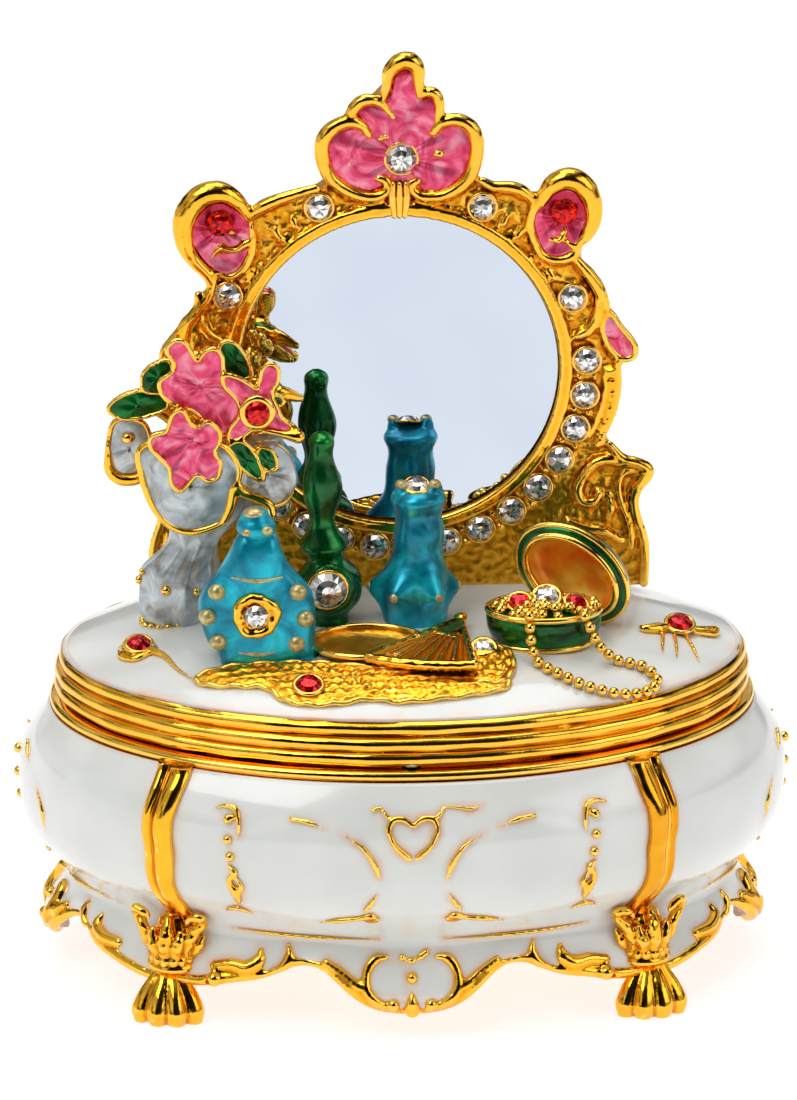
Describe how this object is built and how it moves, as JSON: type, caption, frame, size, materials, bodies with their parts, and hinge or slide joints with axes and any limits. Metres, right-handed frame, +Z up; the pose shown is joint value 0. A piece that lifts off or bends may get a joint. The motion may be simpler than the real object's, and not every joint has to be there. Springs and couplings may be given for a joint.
{
  "type": "vanity trinket box",
  "caption": "Oval enamelled trinket box on paw feet with a hinged lid that carries a miniature vanity scene: framed mirror, vase of flowers, perfume bottles, casket and necklace.",
  "frame": {"origin": "on the ground under the centre of the box", "axes": "+Z up, -Y towards the front of the box, +X to the right"},
  "size_m": [0.0808, 0.056, 0.0959],
  "materials": {
    "white_enamel": "gloss",
    "gold": "polished",
    "mirror": "polished",
    "crystal": "faceted",
    "ruby": "faceted",
    "grey_enamel": "pearl gloss",
    "pink_enamel": "pearl gloss",
    "green_enamel": "gloss",
    "teal_enamel": "pearl gloss",
    "magnet": "nickel plated"
  },
  "bodies": {
    "base": {"base_bowl": "white_enamel", "base_rim": "gold", "base_magnet": "magnet", "apron_front": "white_enamel", "apron_back": "white_enamel", "apron_right": "white_enamel", "apron_left": "white_enamel", "leg_front_left": "gold", "leg_front_right": "gold", "leg_back_left": "gold", "leg_back_right": "gold", "base_hinge_knuckles": "gold", "hinge_pin": "gold"},
    "lid": {"lid_shell": "white_enamel", "lid_rim": "gold", "lid_magnet": "magnet", "lid_hinge_knuckle": "gold", "mirror_frame": "gold", "mirror_glass": "mirror", "frame_crystals": "crystal", "crest_crystal": "crystal", "rosette_rubies": "ruby", "vase": "grey_enamel", "flower_upper": "pink_enamel", "flower_lower": "pink_enamel", "star_flower": "pink_enamel", "bouquet_foliage": "green_enamel", "bouquet_ruby": "ruby", "green_bottle": "green_enamel", "green_bottle_crystal": "crystal", "flat_bottle": "teal_enamel", "flat_bottle_stopper": "teal_enamel", "flat_bottle_setting": "gold", "flat_bottle_crystal": "crystal", "tall_bottle": "teal_enamel", "tall_bottle_crystal": "crystal", "casket_base": "green_enamel", "casket_lid": "green_enamel", "casket_crystal": "crystal", "casket_rubies": "ruby", "bead_necklace": "gold", "lace_mat": "gold", "bow_brooch": "gold", "leaf_brooch": "gold", "oval_dish": "gold", "folding_fan": "gold", "mat_ruby": "ruby", "bow_ruby": "ruby", "leaf_ruby": "ruby", "fan_crystal": "crystal"}
  },
  "joints": [
    {"name": "lid_hinge", "type": "hinge", "parent": "base", "child": "lid", "pos_m": [0, 0.02675, 0.0294], "axis": [-1, 0, 0], "range_deg": [0, 95]}
  ]
}
